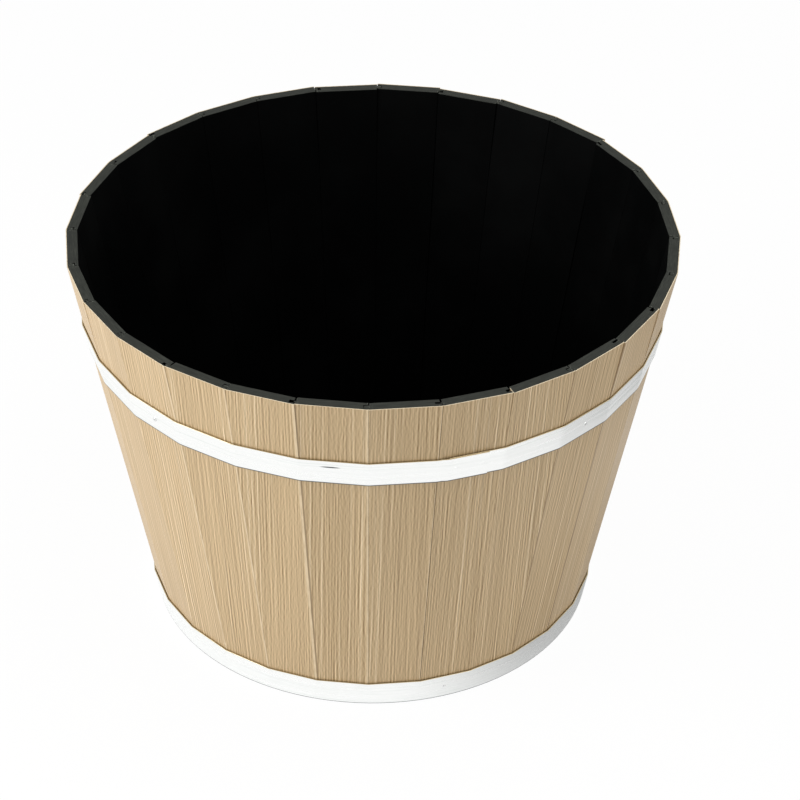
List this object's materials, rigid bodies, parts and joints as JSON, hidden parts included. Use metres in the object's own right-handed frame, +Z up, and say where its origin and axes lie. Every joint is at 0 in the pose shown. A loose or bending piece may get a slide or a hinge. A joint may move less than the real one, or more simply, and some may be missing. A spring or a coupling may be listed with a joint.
{
  "type": "resin flower pot",
  "caption": "Tapered round half-barrel planter of tongue-and-groove boards with an oak-look skin and black core, bound by two flat metal hoops, with a drained boarded floor.",
  "frame": {"origin": "centre of the pot's foot, on the ground", "axes": "+Z up along the pot's axis; -Y towards the viewer of the picture; +X to the viewer's right"},
  "size_m": [0.66, 0.66, 0.45],
  "materials": {
    "black_core": "satin black resin, faintly ribbed by extrusion",
    "oak_skin": "light oak grain, matt",
    "hoop_metal": "bright strip with fine lengthwise rolling lines",
    "rivet_metal": "flush, dressed with the strip",
    "nail_steel": "dull galvanised",
    "batten_resin": "matt black resin",
    "screw_steel": "zinc plated"
  },
  "bodies": {
    "root": {"floor_batten_left": "batten_resin", "floor_batten_right": "batten_resin", "floor_board_1": "black_core", "floor_board_2": "black_core", "floor_board_3": "black_core", "floor_board_4": "black_core", "floor_board_5": "black_core", "floor_board_6": "black_core", "floor_board_7": "black_core", "floor_screws": "screw_steel", "lower_hoop": "hoop_metal", "lower_hoop_nails": "nail_steel", "lower_hoop_rivets": "rivet_metal", "stave_01": "black_core", "stave_02": "black_core", "stave_03": "black_core", "stave_04": "black_core", "stave_05": "black_core", "stave_06": "black_core", "stave_07": "black_core", "stave_08": "black_core", "stave_09": "black_core", "stave_10": "black_core", "stave_11": "black_core", "stave_12": "black_core", "stave_13": "black_core", "stave_14": "black_core", "stave_15": "black_core", "stave_16": "black_core", "stave_17": "black_core", "stave_18": "black_core", "stave_19": "black_core", "stave_20": "black_core", "stave_21": "black_core", "stave_22": "black_core", "stave_23": "black_core", "stave_24": "black_core", "stave_25": "black_core", "stave_26": "black_core", "stave_27": "black_core", "stave_28": "black_core", "stave_skins": "oak_skin", "upper_hoop": "hoop_metal", "upper_hoop_nails": "nail_steel", "upper_hoop_rivets": "rivet_metal"}
  },
  "joints": []
}
